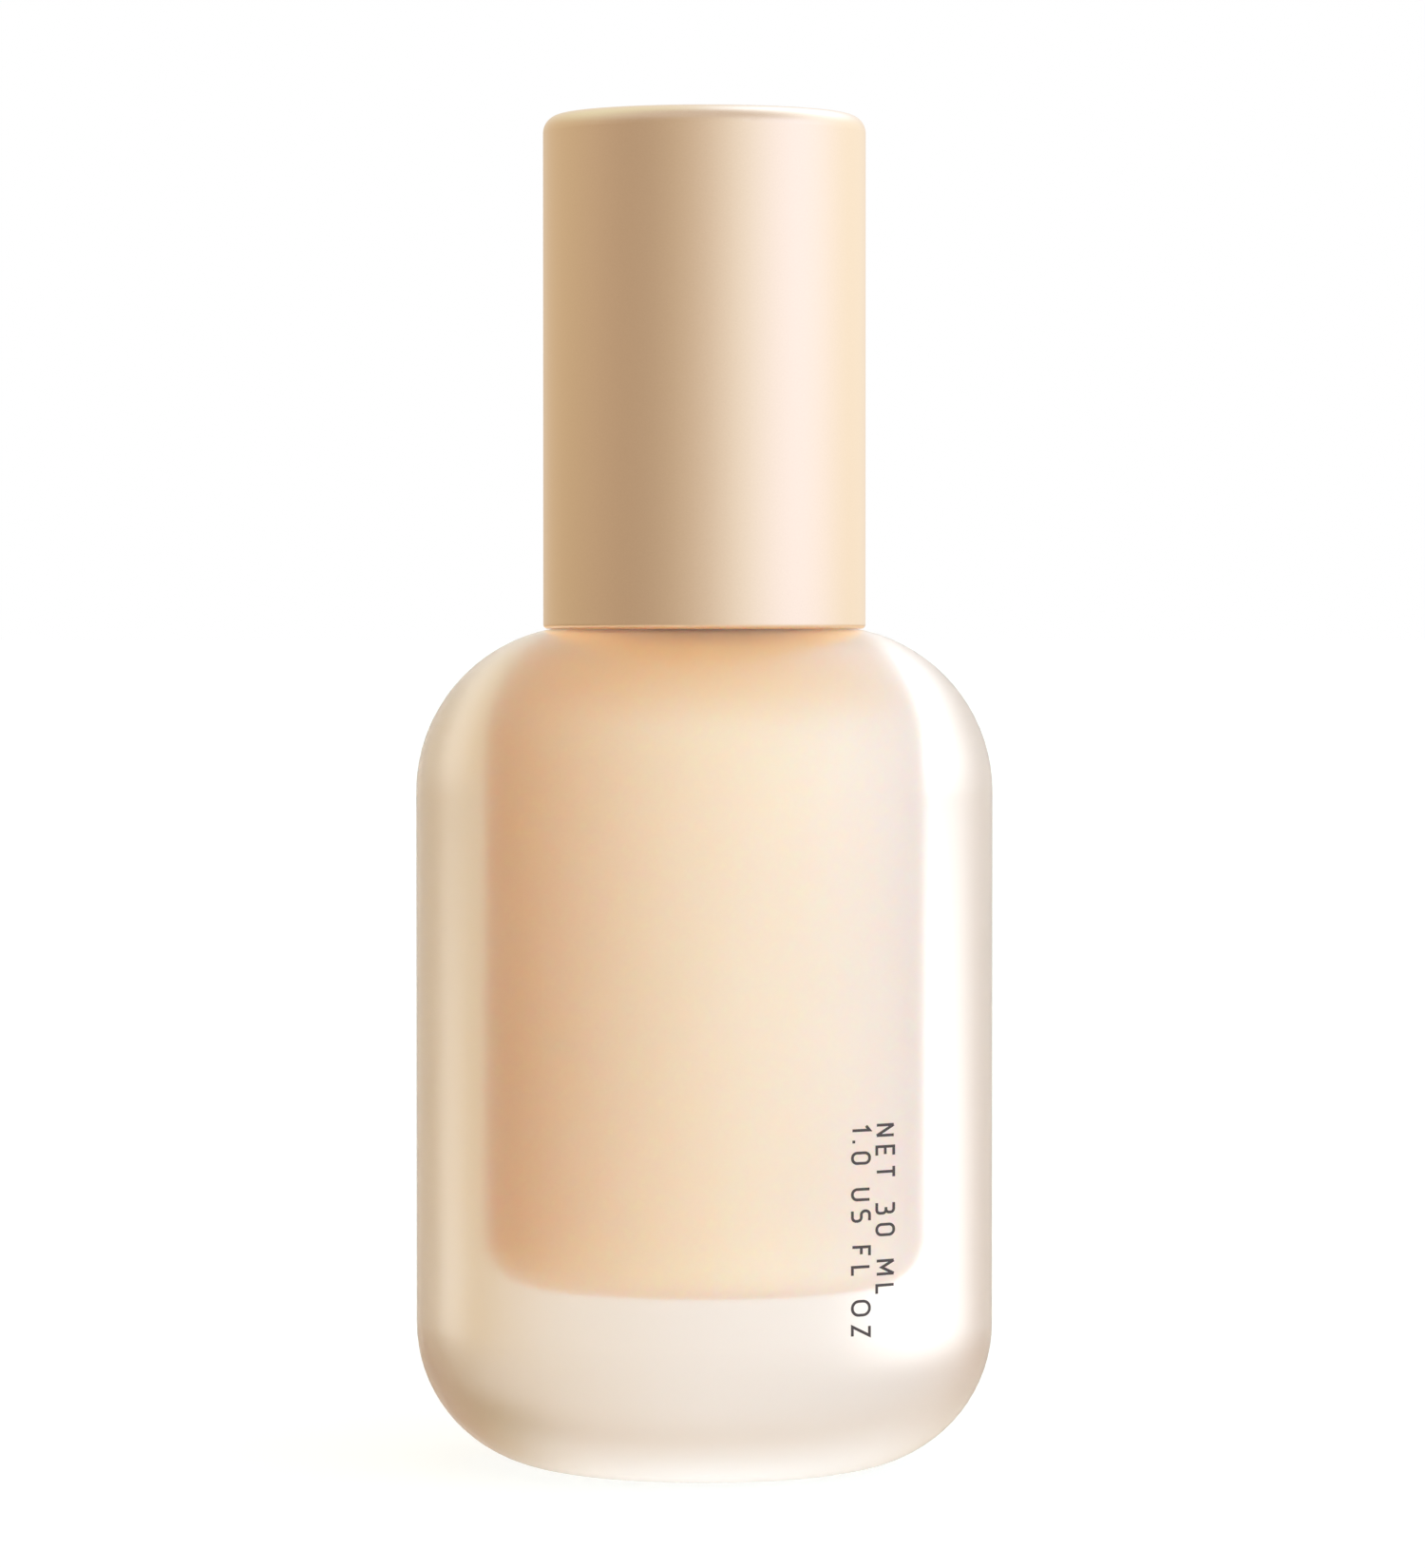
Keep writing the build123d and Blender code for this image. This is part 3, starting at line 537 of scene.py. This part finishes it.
def make_spring():
    """The return spring, a coil of wire with capped ends that shortens as the head goes down."""
    form = bmesh.new()
    steps = SPRING_TURNS * TURN_STEPS
    rings = []
    for step in range(steps + 1):
        turn = 2 * math.pi * step / TURN_STEPS
        height = SPRING_LOW + (SPRING_HIGH - SPRING_LOW) * step / steps
        ring = []
        for side in range(WIRE_SIDES):
            lean = 2 * math.pi * side / WIRE_SIDES
            radius = SPRING_R + WIRE_R * math.cos(lean)
            place = (radius * math.cos(turn), radius * math.sin(turn), height + WIRE_R * math.sin(lean))
            ring.append(form.verts.new([MM * along for along in place]))
        rings.append(ring)
    join_rings(form, rings, WIRE_SIDES)
    form.faces.new(rings[0])
    form.faces.new(rings[-1])
    spring = smooth_piece("return_coil", form)
    wire = steel("spring_steel", (0.66, 0.65, 0.63), roughness=0.24, stretch=(0.4, 0.4, 2.0))
    spring.data.materials.append(wire)
    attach(spring, "spring")
    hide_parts("return_spring")
    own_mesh(spring)


# ---------------------------------------------------------------------------------------------
# Studio
# ---------------------------------------------------------------------------------------------
def make_floor():
    """A plain pale floor that glows a little, hidden from reflections, from glass and from soft light."""
    mesh = bpy.data.meshes.new("floor")
    corners = [(-FLOOR_REACH, -FLOOR_REACH, 0), (FLOOR_REACH, -FLOOR_REACH, 0)]
    corners += [(FLOOR_REACH, FLOOR_REACH, 0), (-FLOOR_REACH, FLOOR_REACH, 0)]
    mesh.from_pydata(corners, [], [(0, 1, 2, 3)])
    floor = bpy.data.objects.new("floor", mesh)
    bpy.context.scene.collection.objects.link(floor)
    material, _, _ = new_material(
        "floor",
        Base_Color=(0.303, 0.406, 0.391, 1.0),
        Roughness=0.9,
        Specular_IOR_Level=0.0,
        Emission_Color=(1.0, 1.0, 1.0, 1.0),
        Emission_Strength=0.78,
    )
    mesh.materials.append(material)
    floor.visible_glossy = False
    floor.visible_diffuse = False
    floor.visible_transmission = False


def dimmed(colour):
    """A panel's colour, scaled for a backdrop of strength PANEL_TOP."""
    return tuple(c / PANEL_TOP for c in colour)


def panel_ring(tree, turn, stops):
    """Panels round the bottle by azimuth. The turn is 0 at -180 degrees and 1 at 180."""
    ring = tree.nodes.new("ShaderNodeValToRGB")
    elements = ring.color_ramp.elements
    elements.remove(elements[-1])
    for degrees, colour in stops:
        place = (degrees + 180) / 360
        element = elements[0] if place == 0 else elements.new(place)
        element.position = place
        element.color = (*dimmed(colour), 1.0)
    tree.links.new(turn, ring.inputs[0])
    return ring.outputs[0]


def layered_rings(tree, turn, height, ring, layers):
    """A ring of panels, and the rings that take over from it, each in its own band of heights."""
    field = panel_ring(tree, turn, ring)
    for band, other in layers:
        field = fade_in(tree, height, band, field, panel_ring(tree, turn, other))
    return field


def wrapping_light(tree, rightward, frontward, height):
    """A light level that changes towards each side, dim and warm on the left, and never negative."""
    leftward = arithmetic(tree, "MAXIMUM", arithmetic(tree, "MULTIPLY", rightward, -1.0), 0.0)
    leftward = arithmetic(tree, "MULTIPLY", leftward, spread(tree, frontward, LEFT_FADE, 0.0))
    backward = arithmetic(tree, "MAXIMUM", arithmetic(tree, "MULTIPLY", frontward, -1.0), 0.0)
    shares = (
        (arithmetic(tree, "MAXIMUM", rightward, 0.0), WRAP_RIGHT),
        (leftward, WRAP_LEFT),
        (arithmetic(tree, "MAXIMUM", frontward, 0.0), WRAP_FRONT),
        (backward, WRAP_BACK),
        (arithmetic(tree, "ABSOLUTE", height), WRAP_UPRIGHT),
    )
    total = dimmed(WRAP_LEVEL)
    for share, colour in shares:
        part = tree.nodes.new("ShaderNodeVectorMath")
        part.operation = "MULTIPLY_ADD"
        tree.links.new(share, part.inputs[0])
        part.inputs[1].default_value = dimmed(colour)
        link(tree, total, part.inputs[2])
        total = part.outputs[0]
    least = tree.nodes.new("ShaderNodeVectorMath")
    least.operation = "MAXIMUM"
    tree.links.new(total, least.inputs[0])
    return least.outputs[0]


def make_studio():
    """Soft light all round the bottle, warm and dim on the left, bright and cool on the right."""
    world = bpy.data.worlds.new("studio")
    world.use_nodes = True
    world.cycles.sampling_method = "NONE"
    tree = world.node_tree
    backdrop = tree.nodes["Background"]
    direction = tree.nodes.new("ShaderNodeTexCoord")
    axes = tree.nodes.new("ShaderNodeSeparateXYZ")
    tree.links.new(direction.outputs["Generated"], axes.inputs[0])
    rightward, height = axes.outputs[0], axes.outputs[2]
    frontward = arithmetic(tree, "MULTIPLY", axes.outputs[1], -1.0)
    azimuth = arithmetic(tree, "ARCTAN2", rightward, frontward)
    turn = arithmetic(tree, "MULTIPLY_ADD", azimuth, 1 / (2 * math.pi), 0.5)
    mirror_layers = ((MIRROR_HIGH_BAND, MIRROR_HIGH_RING), (MIRROR_LOW_BAND, MIRROR_LOW_RING))
    mirrored = layered_rings(tree, turn, height, MIRROR_RING, mirror_layers)
    mirrored = fade_in(tree, height, MIRROR_BELOW_BAND, mirrored, dimmed(MIRROR_BELOW))
    through_layers = (
        (THROUGH_SILL_BAND, THROUGH_SILL_RING),
        (THROUGH_RAISED_BAND, THROUGH_RAISED_RING),
        (THROUGH_HIGH_BAND, THROUGH_HIGH_RING),
    )
    through = layered_rings(tree, turn, height, THROUGH_RING, through_layers)
    through = fade_in(tree, height, THROUGH_BELOW_BAND, through, dimmed(THROUGH_BELOW))
    wrapped = wrapping_light(tree, rightward, frontward, height)
    ray = tree.nodes.new("ShaderNodeLightPath")
    creviced = arithmetic(tree, "GREATER_THAN", ray.outputs["Glossy Depth"], CREVICE_DEPTH)
    scattered = arithmetic(tree, "GREATER_THAN", ray.outputs["Diffuse Depth"], SCATTER_DEPTH)
    light = blend_colours(tree, creviced, mirrored, dimmed(CREVICE_GLOW))
    light = blend_colours(tree, ray.outputs["Is Transmission Ray"], light, through)
    light = blend_colours(tree, scattered, light, wrapped)
    light = blend_colours(tree, ray.outputs["Is Camera Ray"], light, dimmed((1.0, 1.0, 1.0)))
    tree.links.new(light, backdrop.inputs["Color"])
    backdrop.inputs["Strength"].default_value = PANEL_TOP
    bpy.context.scene.world = world


def make_camera():
    """A long lens in front of the bottle, looking a little down."""
    lens = bpy.data.cameras.new("camera")
    lens.sensor_width = SENSOR
    lens.lens = FOCAL
    camera = bpy.data.objects.new("camera", lens)
    camera.location = (CAMERA_X, -CAMERA_DISTANCE, CAMERA_HEIGHT)
    camera.rotation_euler = (math.pi / 2 - CAMERA_DIP, 0.0, 0.0)
    bpy.context.scene.collection.objects.link(camera)
    bpy.context.scene.camera = camera
    bpy.context.scene.view_settings.view_transform = "Standard"


dress_nodes()
make_liquid()
make_spring()
make_floor()
make_studio()
make_camera()
